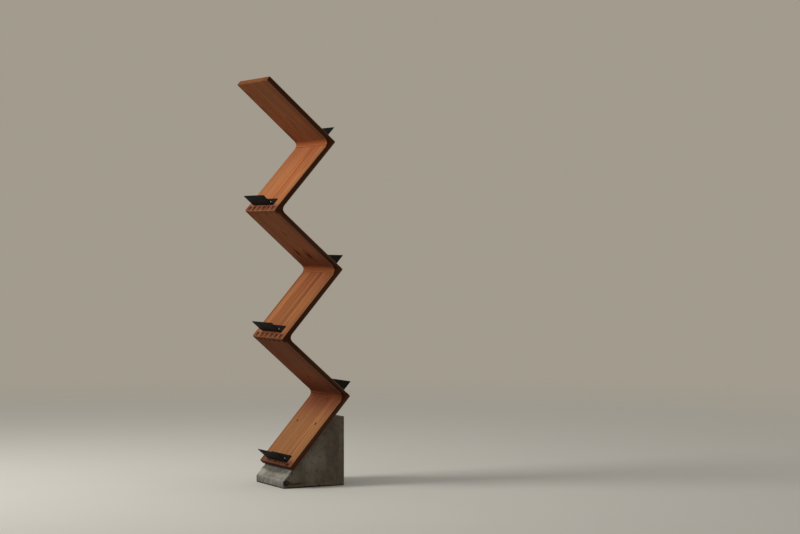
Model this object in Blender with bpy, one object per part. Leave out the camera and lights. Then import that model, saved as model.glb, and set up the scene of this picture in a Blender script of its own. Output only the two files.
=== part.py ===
"""Zigzag magazine shelf: six finger-jointed boards on a cast wedge, with a steel ledge on each board.

Metres, +Z up. The origin is the centre of the wedge's underside. The front is -Y, and X runs across
the boards. Each board has a frame of its own: its local Y runs up the board, its local Z stands off the
upper face, and its origin is the middle of the upper face's lower edge.
"""

from math import cos, pi, radians, sin, tan

import bmesh
import bpy
from mathutils import Vector

# Boards
BOARD_COUNT = 6
BOARD_LENGTH = 0.425
BOARD_WIDTH = 0.325
BOARD_THICKNESS = 0.024
BOARD_SLOPE = radians(48.7)         # boards 1, 3 and 5 rise to the back; the others stand square to them
FINGER_COUNT = 13                   # fingers across one corner, shared by the two boards
CORNER_ROUND = 0.006                # outer edge of each finger-jointed corner
FREE_END_ROUND = 0.003              # edges of the two ends that meet no other board

# Concave strips in the inner corners
COVE_LEG = 0.019
COVE_EDGE = 0.0012                  # thickness left along the strip's thin edges

# Steel ledges
LEDGE_WIDTH = 0.212
LEDGE_STAND = 0.0635                # standing leg, measured from the board
LEDGE_FLANGE = 0.037                # leg that lies on the board
LEDGE_STEEL = 0.003
LEDGE_BEND = 0.002                  # inside radius of the bend
LEDGE_SETBACKS = (0.019, 0.018, 0.033, 0.020, 0.029, 0.029)     # by board, from its lower end up to the ledge

# Ledge screws
SCREW_INSET = 0.0395                # from each end of the ledge
SCREW_BEND_CLEARANCE = 0.0070       # from the ledge's bend to the screw heads
SCREW_RADIUS = 0.002
SCREW_HEAD_MARGIN = 0.002           # head beyond the shank
SCREW_RIM_HEIGHT = 0.001            # upright edge of the head
SCREW_DOME_HEIGHT = 0.0014
SCREW_SOCKET_RADIUS = 0.0016
SCREW_SOCKET_DEPTH = 0.0012
SCREW_POINT = 0.004
SCREW_COVER = 0.0106                # wood left under the point

# Cast base
BASE_INSET = 0.0135                 # each side in from the boards' edges
BASE_FRONT_HEIGHT = 0.032
BASE_BACK_HEIGHT = 0.309
BASE_TOP_DEPTH = 0.055              # flat on top, behind the slope
BASE_EDGE_ROUND = 0.0025
BOARD_TOE = 0.064                   # bare slope in front of board 1

# Bolts that hold board 1 to the base
BOLT_INSET = 0.054                  # from the base's sides
BOLT_DROP = 0.066                   # from the top of the slope
BOLT_RADIUS = 0.003
BOLT_HEAD_MARGIN = 0.002            # head beyond the shank
BOLT_HEAD_HEIGHT = 0.006
BOLT_SOCKET_RADIUS = 0.0028
BOLT_SOCKET_DEPTH = 0.003
BOLT_ENGAGEMENT = 0.030             # length inside the anchor
HEAD_RECESS = 0.0018                # bolt head below board 1's upper face
WASHER_MARGIN = 0.001               # washer beyond the bolt head
WASHER_THICKNESS = 0.0016
ANCHOR_WALL = 0.003
ANCHOR_FLOOR = 0.009
ANCHOR_FOOT_MARGIN = 0.003          # flared foot that keys the anchor into the casting
ANCHOR_FOOT_HEIGHT = 0.004
BORE_RELIEF = 0.003                 # bore beyond the bolt's tip

# Clearances
GAP = 0.0003                        # glue lines and seats
HOLE_CLEARANCE = 0.0005             # bolt holes and counterbores
CUT_MARGIN = 0.002                  # cutters reach this far past what they cut

# Facets
ROUND_STEPS = 4
COVE_STEPS = 12
DOME_STEPS = 3
TURNED_SIDES = 24

FINISHES = {
    "wood": ((0.305, 0.118, 0.046), 0.48, 0.0),
    "black_steel": ((0.012, 0.012, 0.012), 0.5, 0.0),
    "bright_steel": ((0.55, 0.55, 0.53), 0.35, 1.0),
    "zinc_steel": ((0.36, 0.36, 0.35), 0.45, 1.0),
    "concrete": ((0.235, 0.222, 0.185), 0.9, 0.0),
}


def clear_scene():
    """Removes whatever the file already holds."""
    for item in list(bpy.data.objects):
        bpy.data.objects.remove(item, do_unlink=True)


def finish(name):
    """Returns the named finish as a material, made on first use."""
    material = bpy.data.materials.get(name)
    if material is None:
        colour, roughness, metallic = FINISHES[name]
        material = bpy.data.materials.new(name)
        material.use_nodes = True
        shader = material.node_tree.nodes["Principled BSDF"]
        shader.inputs["Base Color"].default_value = (*colour, 1.0)
        shader.inputs["Roughness"].default_value = roughness
        shader.inputs["Metallic"].default_value = metallic
        material.diffuse_color = (*colour, 1.0)
    return material


def frame(name, location, rotation=(0.0, 0.0, 0.0), parent=None):
    """Adds an empty that carries the pieces of one board, or of the whole shelf."""
    empty = bpy.data.objects.new(name, None)
    bpy.context.collection.objects.link(empty)
    empty.empty_display_size = 0.05
    empty.location = location
    empty.rotation_euler = rotation
    empty.parent = parent
    return empty


def piece(name, shape, carrier, material, location=(0.0, 0.0, 0.0), smooth=False):
    """Turns a bmesh into a named object on its carrier's frame."""
    mesh = bpy.data.meshes.new(name)
    bmesh.ops.recalc_face_normals(shape, faces=shape.faces)
    shape.to_mesh(mesh)
    shape.free()
    mesh.materials.append(finish(material))
    if smooth:
        mesh.shade_smooth()
        mesh.set_sharp_from_angle(angle=radians(35))
    made = bpy.data.objects.new(name, mesh)
    bpy.context.collection.objects.link(made)
    made.parent = carrier
    made.location = location
    return made


def cutter(name, shape, carrier):
    """Adds a guide solid that only cuts other pieces."""
    made = piece(name, shape, carrier, "wood")
    made.hide_render = True
    made.display_type = "WIRE"
    return made


def cut(target, tool):
    """Takes the tool's volume out of the target."""
    boolean = target.modifiers.new(f"less {tool.name}", "BOOLEAN")
    boolean.operation = "DIFFERENCE"
    boolean.solver = "EXACT"
    boolean.object = tool


def eased_corner(corner, before, after, radius, steps=ROUND_STEPS):
    """Points round a right-angled corner, given the unit directions to its two neighbours."""
    corner, before, after = Vector(corner), Vector(before), Vector(after)
    if radius == 0.0:
        return [corner]
    centre = corner + (before + after) * radius
    angles = [pi / 2 * step / steps for step in range(steps + 1)]
    return [centre - (after * cos(angle) + before * sin(angle)) * radius for angle in angles]


def prism(outline, width, shape=None, middle=0.0):
    """Extrudes a closed (y, z) outline across X, centred on the given middle."""
    shape = shape or bmesh.new()
    start = middle - width / 2
    face = shape.faces.new([shape.verts.new((start, y, z)) for y, z in outline])
    grown = bmesh.ops.extrude_face_region(shape, geom=[face])["geom"]
    moved = [item for item in grown if isinstance(item, bmesh.types.BMVert)]
    bmesh.ops.translate(shape, verts=moved, vec=(width, 0.0, 0.0))
    return shape


def block(low_y, high_y, low_z, high_z):
    """The outline of a rectangle."""
    return [(low_y, low_z), (high_y, low_z), (high_y, high_z), (low_y, high_z)]


def ring(shape, radius, height, centre, hexagon):
    """A loop of points round a vertical axis, or one point where the radius is zero."""
    if radius == 0.0:
        return [shape.verts.new((centre[0], centre[1], height))]
    points = []
    for side in range(TURNED_SIDES):
        angle = 2 * pi * side / TURNED_SIDES
        reach = radius
        if hexagon:
            reach *= cos(pi / 6) / cos(angle % (pi / 3) - pi / 6)
        x = centre[0] + reach * cos(angle)
        y = centre[1] + reach * sin(angle)
        points.append(shape.verts.new((x, y, height)))
    return points


def turned(profile, shape=None, centre=(0.0, 0.0), closed=False, hexagon_rows=0):
    """Turns (radius, height) rows round a vertical axis; the first rows may be a hexagonal socket.

    A closed profile joins its last row to its first, for a piece with a hole right through.
    """
    shape = shape or bmesh.new()
    rows = [ring(shape, radius, height, centre, index < hexagon_rows)
            for index, (radius, height) in enumerate(profile)]
    pairs = list(zip(rows, rows[1:]))
    if closed:
        pairs.append((rows[-1], rows[0]))
    for upper, lower in pairs:
        for side in range(TURNED_SIDES):
            following = (side + 1) % TURNED_SIDES
            corners = [upper[side % len(upper)], lower[side % len(lower)]]
            corners += [lower[following % len(lower)], upper[following % len(upper)]]
            shape.faces.new(list(dict.fromkeys(corners)))
    return shape


def owns_finger(slot, number):
    """Whether a board has a finger in this slot, counted from its own local left."""
    if number % 2:
        return slot % 2 == 0
    return (FINGER_COUNT - 1 - slot) % 2 == 1


def board_outline(number):
    """A board's lengthwise section, with its outer corners eased."""
    lower_free = number == 1
    upper_free = number == BOARD_COUNT
    lower_top = FREE_END_ROUND if lower_free else CORNER_ROUND
    lower_under = FREE_END_ROUND if lower_free else 0.0
    upper_top = FREE_END_ROUND if upper_free else 0.0
    upper_under = FREE_END_ROUND if upper_free else CORNER_ROUND
    under = -BOARD_THICKNESS
    outline = eased_corner((0.0, under), (0, 1), (1, 0), lower_under)
    outline += eased_corner((BOARD_LENGTH, under), (-1, 0), (0, 1), upper_under)
    outline += eased_corner((BOARD_LENGTH, 0.0), (0, -1), (-1, 0), upper_top)
    outline += eased_corner((0.0, 0.0), (1, 0), (0, -1), lower_top)
    return outline


def finger_notches(number):
    """Blocks that cut a board's jointed ends into fingers."""
    shape = bmesh.new()
    pitch = BOARD_WIDTH / FINGER_COUNT
    depth = BOARD_THICKNESS + GAP
    ends = []
    if number > 1:
        ends.append((-CUT_MARGIN, depth))
    if number < BOARD_COUNT:
        ends.append((BOARD_LENGTH - depth, BOARD_LENGTH + CUT_MARGIN))
    for low, high in ends:
        outline = block(low, high, -BOARD_THICKNESS - CUT_MARGIN, CUT_MARGIN)
        for slot in range(FINGER_COUNT):
            if owns_finger(slot, number):
                continue
            left = pitch * slot - GAP / 2 if slot else -CUT_MARGIN
            right = pitch * (slot + 1) + GAP / 2 if slot < FINGER_COUNT - 1 else BOARD_WIDTH + CUT_MARGIN
            prism(outline, right - left, shape, (left + right - BOARD_WIDTH) / 2)
    return shape


def add_board(number, carrier):
    """One board with its fingers."""
    suffix = {1: "_bottom", BOARD_COUNT: "_top"}.get(number, "")
    board = piece(f"board_{number}{suffix}", prism(board_outline(number), BOARD_WIDTH), carrier, "wood")
    cut(board, cutter(f"finger_notches_{number}", finger_notches(number), carrier))
    return board


def add_cove(number, carrier):
    """The concave strip in the inner corner at a board's upper end."""
    corner = BOARD_LENGTH - BOARD_THICKNESS
    hollow = eased_corner((corner - COVE_EDGE, COVE_EDGE), (-1, 0), (0, 1), COVE_LEG - COVE_EDGE, COVE_STEPS)
    seat = [(corner - GAP, COVE_LEG), (corner - GAP, GAP), (corner - COVE_LEG, GAP)]
    piece(f"corner_cove_{number}", prism(hollow + seat, BOARD_WIDTH), carrier, "wood", smooth=True)


def ledge_outline(setback):
    """The bent angle's section: a flange on the board and a leg that stands off it."""
    low, high = setback, setback + LEDGE_FLANGE
    seat, tip = GAP, LEDGE_STAND
    outline = eased_corner((low, seat), (0, 1), (1, 0), LEDGE_BEND + LEDGE_STEEL)
    outline += [(high, seat), (high, seat + LEDGE_STEEL)]
    outline += eased_corner((low + LEDGE_STEEL, seat + LEDGE_STEEL), (1, 0), (0, 1), LEDGE_BEND)
    outline += [(low + LEDGE_STEEL, tip), (low, tip)]
    return outline


def screw_shape(length):
    """A domed screw with a six-sided socket, its head's underside at height zero."""
    head = SCREW_RADIUS + SCREW_HEAD_MARGIN
    top = SCREW_RIM_HEIGHT + SCREW_DOME_HEIGHT
    floor = top - SCREW_SOCKET_DEPTH
    profile = [(0.0, floor), (SCREW_SOCKET_RADIUS, floor)]
    for step in range(DOME_STEPS + 1):
        share = step / DOME_STEPS
        radius = SCREW_SOCKET_RADIUS + (head - SCREW_SOCKET_RADIUS) * share
        profile.append((radius, top - SCREW_DOME_HEIGHT * share ** 2))
    profile += [
        (head, 0.0),
        (SCREW_RADIUS, 0.0),
        (SCREW_RADIUS, SCREW_POINT - length),
        (0.0, -length),
    ]
    return turned(profile, hexagon_rows=3)


def add_ledge(number, carrier, board):
    """A ledge, its two screws, and the screw holes through it and into its board."""
    setback = LEDGE_SETBACKS[(number - 1) % len(LEDGE_SETBACKS)]
    angle = prism(ledge_outline(setback), LEDGE_WIDTH)
    ledge = piece(f"ledge_{number}", angle, carrier, "black_steel", smooth=True)
    bend_end = setback + LEDGE_STEEL + LEDGE_BEND
    across = bend_end + SCREW_BEND_CLEARANCE + SCREW_HEAD_MARGIN + SCREW_RADIUS
    seat = GAP + LEDGE_STEEL + GAP
    length = seat + BOARD_THICKNESS - SCREW_COVER
    drills = bmesh.new()
    for end in (-1, 1):
        middle = end * (LEDGE_WIDTH / 2 - SCREW_INSET)
        side = "left" if (end < 0) == bool(number % 2) else "right"
        place = (middle, across, seat)
        name = f"ledge_screw_{number}_{side}"
        piece(name, screw_shape(length), carrier, "bright_steel", place, smooth=True)
        radius = SCREW_RADIUS + GAP
        bottom = seat - length - GAP
        turned([(0.0, seat + CUT_MARGIN), (radius, seat + CUT_MARGIN), (radius, bottom), (0.0, bottom)],
               drills, (middle, across))
    drill = cutter(f"screw_drill_{number}", drills, carrier)
    cut(ledge, drill)
    cut(board, drill)


def base_width():
    """The wedge's size across, a little less than the boards'."""
    return BOARD_WIDTH - 2 * BASE_INSET


def base_outline():
    """The wedge's section, with its slope at board 1's angle."""
    run = (BASE_BACK_HEIGHT - BASE_FRONT_HEIGHT) / tan(BOARD_SLOPE)
    front = -(run + BASE_TOP_DEPTH) / 2
    back = -front
    return [
        (front, 0.0),
        (back, 0.0),
        (back, BASE_BACK_HEIGHT),
        (front + run, BASE_BACK_HEIGHT),
        (front, BASE_FRONT_HEIGHT),
    ]


def add_base(carrier):
    """The cast wedge with its edges rounded over."""
    base = piece("concrete_base", prism(base_outline(), base_width()), carrier, "concrete")
    rounding = base.modifiers.new("rounded edges", "BEVEL")
    rounding.width = BASE_EDGE_ROUND
    rounding.segments = ROUND_STEPS
    rounding.limit_method = "ANGLE"
    rounding.angle_limit = radians(20)
    return base


def add_bolts(carrier, board, base):
    """Two bolts with washers, their holes in board 1, and the anchors cast into the base."""
    slope_length = (BASE_BACK_HEIGHT - BASE_FRONT_HEIGHT) / sin(BOARD_SLOPE)
    setback = slope_length - BOARD_TOE - BOLT_DROP
    head_radius = BOLT_RADIUS + BOLT_HEAD_MARGIN
    washer_radius = head_radius + WASHER_MARGIN
    head_seat = -HEAD_RECESS - BOLT_HEAD_HEIGHT
    washer_top = head_seat - GAP
    washer_seat = washer_top - WASHER_THICKNESS
    counterbore = washer_seat - GAP
    slope = -BOARD_THICKNESS - GAP
    tip = slope - BOLT_ENGAGEMENT
    bore_end = tip - BORE_RELIEF
    anchor_end = bore_end - ANCHOR_FLOOR
    bore = BOLT_RADIUS + GAP
    sleeve = bore + ANCHOR_WALL
    foot = sleeve + ANCHOR_FOOT_MARGIN
    foot_top = anchor_end + ANCHOR_FOOT_HEIGHT

    socket_floor = -HEAD_RECESS - BOLT_SOCKET_DEPTH
    bolt_rows = [
        (0.0, socket_floor),
        (BOLT_SOCKET_RADIUS, socket_floor),
        (BOLT_SOCKET_RADIUS, -HEAD_RECESS),
        (head_radius, -HEAD_RECESS),
        (head_radius, head_seat),
        (BOLT_RADIUS, head_seat),
        (BOLT_RADIUS, tip),
        (0.0, tip),
    ]
    washer_rows = [
        (bore, washer_top),
        (washer_radius, washer_top),
        (washer_radius, washer_seat),
        (bore, washer_seat),
    ]
    anchor_rows = [
        (0.0, bore_end),
        (bore, bore_end),
        (bore, slope),
        (sleeve, slope),
        (sleeve, foot_top),
        (foot, foot_top),
        (foot, anchor_end),
        (0.0, anchor_end),
    ]
    board_hole = [
        (0.0, CUT_MARGIN),
        (washer_radius + HOLE_CLEARANCE, CUT_MARGIN),
        (washer_radius + HOLE_CLEARANCE, counterbore),
        (BOLT_RADIUS + HOLE_CLEARANCE, counterbore),
        (BOLT_RADIUS + HOLE_CLEARANCE, -BOARD_THICKNESS - CUT_MARGIN),
        (0.0, -BOARD_THICKNESS - CUT_MARGIN),
    ]
    base_hole = [
        (0.0, slope + CUT_MARGIN),
        (sleeve + GAP, slope + CUT_MARGIN),
        (sleeve + GAP, foot_top + GAP),
        (foot + GAP, foot_top + GAP),
        (foot + GAP, anchor_end - GAP),
        (0.0, anchor_end - GAP),
    ]
    board_drills = bmesh.new()
    base_drills = bmesh.new()
    for side, end in (("left", -1), ("right", 1)):
        place = (end * (base_width() / 2 - BOLT_INSET), setback, 0.0)
        bolt = turned(bolt_rows, hexagon_rows=3)
        washer = turned(washer_rows, closed=True)
        anchor = turned(anchor_rows)
        piece(f"base_bolt_{side}", bolt, carrier, "black_steel", place, smooth=True)
        piece(f"base_washer_{side}", washer, carrier, "zinc_steel", place, smooth=True)
        piece(f"base_anchor_{side}", anchor, carrier, "zinc_steel", place, smooth=True)
        turned(board_hole, board_drills, place[:2])
        turned(base_hole, base_drills, place[:2])
    cut(board, cutter("bolt_holes", board_drills, carrier))
    cut(base, cutter("anchor_holes", base_drills, carrier))


def board_places():
    """Yields each board's number, the start of its upper face and its rotation, from the base up."""
    front, height = base_outline()[-1]
    rise = Vector((0.0, cos(BOARD_SLOPE), sin(BOARD_SLOPE)))
    square = Vector((0.0, -sin(BOARD_SLOPE), cos(BOARD_SLOPE)))
    start = Vector((0.0, front, height)) + rise * BOARD_TOE + square * (GAP + BOARD_THICKNESS)
    for number in range(1, BOARD_COUNT + 1):
        if number % 2:
            along, normal = rise, square
            rotation = (BOARD_SLOPE, 0.0, 0.0)
        else:
            along, normal = square, rise
            rotation = (pi / 2 - BOARD_SLOPE, 0.0, pi)
        yield number, start, rotation
        start = start + along * BOARD_LENGTH - normal * BOARD_THICKNESS


def build():
    """Makes the whole shelf."""
    clear_scene()
    shelf = frame("shelf", (0.0, 0.0, 0.0))
    base = add_base(shelf)
    for number, start, rotation in board_places():
        carrier = frame(f"board_frame_{number}", start, rotation, shelf)
        board = add_board(number, carrier)
        add_ledge(number, carrier, board)
        if number == 1:
            add_bolts(carrier, board, base)
        if number < BOARD_COUNT:
            add_cove(number, carrier)


build()
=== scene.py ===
"""Finishes the magazine shelf: oiled boards, coated steel ledges, bright screws and a cast wedge.

Metres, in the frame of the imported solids: +Z up, the front is -Y and X runs across the boards.
"""

from math import floor, radians
from random import Random
from typing import NamedTuple

import bmesh
import bpy
import numpy as np
from bpy.props import FloatProperty, FloatVectorProperty, IntProperty, PointerProperty
from mathutils import Matrix, Vector, noise
from mathutils.kdtree import KDTree


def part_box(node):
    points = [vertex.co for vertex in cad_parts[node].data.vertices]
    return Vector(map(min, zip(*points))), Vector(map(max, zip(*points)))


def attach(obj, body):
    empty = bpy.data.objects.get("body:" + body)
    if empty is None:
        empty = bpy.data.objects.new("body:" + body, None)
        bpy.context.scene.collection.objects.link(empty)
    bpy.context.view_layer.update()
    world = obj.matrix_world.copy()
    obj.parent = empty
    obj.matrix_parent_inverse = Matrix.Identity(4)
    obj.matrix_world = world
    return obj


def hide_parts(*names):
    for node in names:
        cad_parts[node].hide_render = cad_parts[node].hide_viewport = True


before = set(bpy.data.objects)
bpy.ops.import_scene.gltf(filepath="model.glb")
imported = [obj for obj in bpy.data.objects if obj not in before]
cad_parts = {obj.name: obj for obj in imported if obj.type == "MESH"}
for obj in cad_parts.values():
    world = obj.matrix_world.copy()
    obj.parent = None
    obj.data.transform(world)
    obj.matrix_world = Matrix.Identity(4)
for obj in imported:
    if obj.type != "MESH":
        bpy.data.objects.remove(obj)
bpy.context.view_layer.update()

bl_info = {
    "name": "Magazine Shelf",
    "version": (1, 0, 0),
    "blender": (4, 5, 0),
    "location": "3D View > Sidebar > Shelf",
    "description": "Finishes the boards, ledges, screws and cast wedge of a zigzag magazine shelf",
    "category": "Object",
}

BODY = "root"

# Meshes
WELD = 1e-5                     # corners closer than this are one corner
FLAT_ANGLE = radians(0.5)       # faces that meet flatter than this become one
SMOOTH_ANGLE = radians(34)      # edges sharper than this stay sharp
SHARP_ANGLE = radians(60)       # edges sharper than this are rounded over
EDGE_STEPS = 3                  # faces across a rounded edge
TINY = 1e-4                     # room for error where places are compared
ALONG = 0.9                     # least part of a normal along an axis that a face looks along
SQUARE = 0.999                  # the same for a face that lies square to the axis
OUT_OF_REACH = 1.0              # past a board's end

# Growth of the wood
STAVE_SHIFT = 0.37              # staves that the pattern moves on from one seed to the next
STAVE_DRAWS = 13.0              # random draws that it moves on
PITH_SPREAD = 0.22              # how far apart the piths lie across the staves
PITH_DEPTH = 0.05               # least depth of a pith below the upper face
PITH_DEPTH_SPREAD = 0.12
RING_WANDER = 0.016             # size of the rings' slow waves
RING_RIPPLE = 0.0010            # size of the rings' small waves
RING_SLOPE = 0.05               # spread of the rings' slope along the grain
KNOT_PUSH = 0.006               # how far a knot pushes the rings aside

# Strength of the wood's marks
LATE_DEPTH = 0.58               # ring lines
VEIN_DEPTH = 0.25               # dark stripes
BAND_DEPTH = 0.48               # broad soft stripes
STAVE_DEPTH = 0.10              # staves of different lightness
DUCT_DEPTH = 0.22               # resin ducts
FIBRE_DEPTH = 0.30
WEAR_DEPTH = 0.75
HALO_DEPTH = 0.45               # round a knot
HEART_DEPTH = 0.92              # in a knot
COVE_END_SHADE = 0.58           # darkness of the end grain
JOINTED_END_SHADE = 0.68
FREE_END_SHADE = 0.42
RIM_SHADE = 0.18                # darkness of a board's faces along its long sides

# Reach of the marks on a board: where there are two numbers, full up to the first and gone at the second
SOAK_AND_SHADE_REACH = (0.020, 0.044)     # oil in a lower end's grain, and painted shade of the ledge above it
SOAK_AND_SHADE_WAVE = 0.02                # waves in that line
CORNER_SHADE_REACH = 0.165               # painted shade along the inner corner below a cove strip, on the upper face
UNDERSIDE_SHADE_REACH = (0.010, 0.140)     # painted shade along the inner corner above a cove strip, on the underside
RIM_REACH = 0.035               # width of the darker strip along the long sides
WEAR_REACH = (0.0006, 0.0042)   # wear beside an edge
SHELTER = 0.004                 # a cove strip keeps wear this far off

# Knots by board: across, up the board, half width, half length
KNOTS = {
    1: [(0.032, 0.372, 0.003, 0.005), (0.122, 0.009, 0.020, 0.010), (-0.008, 0.014, 0.006, 0.007),
        (0.042, 0.012, 0.006, 0.007)],
    2: [(0.010, 0.150, 0.004, 0.012)],
    4: [(0.062, 0.137, 0.010, 0.020), (-0.029, 0.117, 0.014, 0.028), (-0.012, 0.265, 0.004, 0.014)],
}


class Tone(NamedTuple):
    """How the wood of one piece differs from the rest."""

    lightness: float
    warmth: float               # from tan to red
    figure: float               # depth of bands and veins
    soaked_and_shaded: float = 0.0         # darkness of the lower end, from oil in its grain and painted shade of the ledge above
    corner_shade: float = 0.0       # painted shade along the inner corners
    side_shade: float = 0.0     # darkness of the long sides


TONES = {
    1: Tone(1.09, -0.25, 1.0, 0.80, 1.0, 0.48),
    2: Tone(1.28, -0.05, 0.8, 0.35, 1.0, 0.65),
    3: Tone(0.96, 0.50, 2.0, 0.38, 0.4, 0.46),
    4: Tone(1.23, 0.20, 0.8, 0.35, 1.0, 0.59),
    5: Tone(1.14, 0.70, 1.2, 0.82, 0.3, 0.56),
    6: Tone(0.94, 0.60, 0.8, 0.35, 0.3, 0.59),
}
COVE_LIGHTNESS = {1: 0.73, 2: 0.83, 3: 0.83, 4: 0.86, 5: 0.88}
COVE_WARMTH = 1.6
COVE_FIGURE = 0.6
COVE_SEED = 20                  # keeps the cove strips' grain apart from the boards'

# Skin of the wedge
SWELL_WAVES = 26.0              # waves in a metre
SWELL_DEPTH = 0.0002
GRAIN_WAVES = 150.0
GRAIN_DEPTH = 0.00015
CRUMB_WAVES = 140.0             # crumbled edges
CRUMB_DEPTH = 0.002
FLAT_TURN = 0.01                # a place that turns less than this is flat
RIM_TURN = 0.06                 # a place that turns more than this is on an edge
PIT_RADIUS = (0.0015, 0.0030)
VOID_RADIUS = (0.0025, 0.0048)
VOID_HEIGHT = 0.024             # middle of the rough patch
VOID_SPREAD = (0.015, 0.008)    # along the side and up it
CHIP_RADIUS = (0.003, 0.007)
CHIP_TILT = 0.6                 # how far a chip leans off the edge's normal
DENT_REACH = 1.25               # in radii, as the next three
DENT_DEPTH = 0.8
CHIP_REACH = 1.5
CHIP_DEPTH = (0.08, 0.20)
WHOLE_BACK = 0.02               # no chips this close to the back
DAMP_HEIGHT = (0.004, 0.050)    # damp from the floor: full up to the first, gone at the second
DAMP_WAVE = 0.05                # waves in that line
DAMP_SHADE = 0.28               # darkness of the damp
DAMP_SIDE_SHADE = 0.02          # the same on the two sides
SIDE_LIFT = 0.07                # painted light: how much lighter the two sides are
BLOOM_DEPTH = 0.30
HOLLOW_SHADE = 0.62
HOLE_SHADE = 0.55
WEDGE_CORNERS = [corner.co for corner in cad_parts["concrete_base"].data.vertices]
RIGHT = max(corner.x for corner in WEDGE_CORNERS)
FRONT = min(corner.y for corner in WEDGE_CORNERS)
# Stains, and painted shade below board 1 and along the foot: middle, half sizes and lightness
STAINS_AND_SHADE = (
    ((-0.125, -0.135, 0.050), (0.050, 0.022, 0.022), 1.65),
    # painted shade of board 1's lower end, across the top of the slope
    ((-0.010, -0.116, 0.074), (0.180, 0.023, 0.023), 0.52),
    ((0.030, -0.134, 0.052), (0.100, 0.016, 0.016), 1.15),
    ((0.000, FRONT, 0.020), (0.170, 0.012, 0.024), 1.38),
    ((RIGHT, -0.138, 0.022), (0.020, 0.016, 0.020), 0.60),
    ((RIGHT, -0.095, 0.040), (0.020, 0.030, 0.020), 1.25),
    ((RIGHT, -0.010, 0.110), (0.020, 0.075, 0.090), 1.22),
    ((RIGHT, 0.085, 0.190), (0.020, 0.050, 0.120), 0.84),
    ((RIGHT, 0.128, 0.200), (0.020, 0.005, 0.070), 1.20),
    ((RIGHT, 0.130, 0.060), (0.020, 0.020, 0.060), 0.80),
    ((RIGHT, -0.090, 0.019), (0.020, 0.050, 0.005), 0.55),
    # painted contact shadow along the foot of the right side
    ((RIGHT, 0.000, 0.001), (0.020, 0.160, 0.006), 0.25),
    # painted contact shadow along the foot of the front
    ((0.000, FRONT, 0.001), (0.170, 0.020, 0.006), 0.25),
)


def display(red, green, blue):
    """A screen's colour, from 0 to 255, turned into the linear values that shaders take."""
    parts = [channel / 255 for channel in (red, green, blue)]
    return tuple(part / 12.92 if part <= 0.04045 else ((part + 0.055) / 1.055) ** 2.4 for part in parts)


# Settings

COLOUR = {"subtype": "COLOR", "min": 0.0, "max": 1.0}
LENGTH = {"subtype": "DISTANCE", "unit": "LENGTH"}


class WoodSettings(bpy.types.PropertyGroup):
    """The boards' and cove strips' wood."""

    early: FloatVectorProperty(
        name="Early wood", description="Pale wood between the ring lines", default=display(174, 122, 79),
        **COLOUR)
    late: FloatVectorProperty(
        name="Late wood", description="Dark wood of the ring lines", default=display(128, 76, 41), **COLOUR)
    red: FloatVectorProperty(
        name="Red wood", description="Tone of the warmest boards", default=display(169, 94, 55), **COLOUR)
    vein: FloatVectorProperty(
        name="Vein", description="Tint of the dark stripes along the grain", default=(0.55, 0.36, 0.42),
        **COLOUR)
    knot: FloatVectorProperty(
        name="Knot", description="Heart of a knot", default=display(64, 35, 22), **COLOUR)
    # Painted shade: this tint darkens the upper faces below the cove strips, where the board above shades the
    # inner corner
    oil: FloatVectorProperty(
        name="Gathered oil", description="Tint of the oil that gathers along the inner corners",
        default=(0.72, 0.54, 0.66), **COLOUR)
    # Painted shade: this tint darkens the undersides above the cove strips, where the inner corner is shaded
    underside_corner_shade: FloatVectorProperty(
        name="Dulled oil", description="Tint of the oil along the inner corners on the undersides",
        default=(0.56, 0.52, 0.62), **COLOUR)
    # Partly painted shade: this tint darkens the lower ends for the ledge's shadow as well as for the oil in
    # their grain
    soaked_and_shaded: FloatVectorProperty(
        name="Soaked end", description="Tint of the boards' lower ends, where the grain drinks the oil",
        default=(0.44, 0.40, 0.72), **COLOUR)
    worn: FloatVectorProperty(
        name="Worn edge", description="Bare wood along the worn edges", default=display(205, 150, 104),
        **COLOUR)
    stave_width: FloatProperty(
        name="Stave width", description="Width of the strips that a board is glued from", default=0.081,
        min=0.02, **LENGTH)
    ring_width: FloatProperty(
        name="Ring width", description="Growth of one year", default=0.0040, min=0.001, **LENGTH)
    arris: FloatProperty(
        name="Arris", description="Rounding of the boards' long edges", default=0.0016, min=0.0002,
        **LENGTH)
    cove_arris: FloatProperty(
        name="Cove arris", description="Rounding of the cove strips' ends", default=0.0008, min=0.0002,
        **LENGTH)


class SteelSettings(bpy.types.PropertyGroup):
    """The ledges, screws and bolts."""

    coat: FloatVectorProperty(
        name="Coat", description="Powder coat on the ledges", default=display(18, 18, 18), **COLOUR)
    bright: FloatVectorProperty(
        name="Bright steel", description="Screw heads", default=display(165, 165, 161), **COLOUR)
    zinc: FloatVectorProperty(
        name="Zinc", description="Washers and anchors", default=display(160, 161, 158), **COLOUR)
    browned: FloatVectorProperty(
        name="Browned steel", description="Bolt heads", default=display(74, 62, 52), **COLOUR)
    edge: FloatProperty(
        name="Edge", description="Rounding of the sheet's edges", default=0.0005, min=0.0001, **LENGTH)


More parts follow.
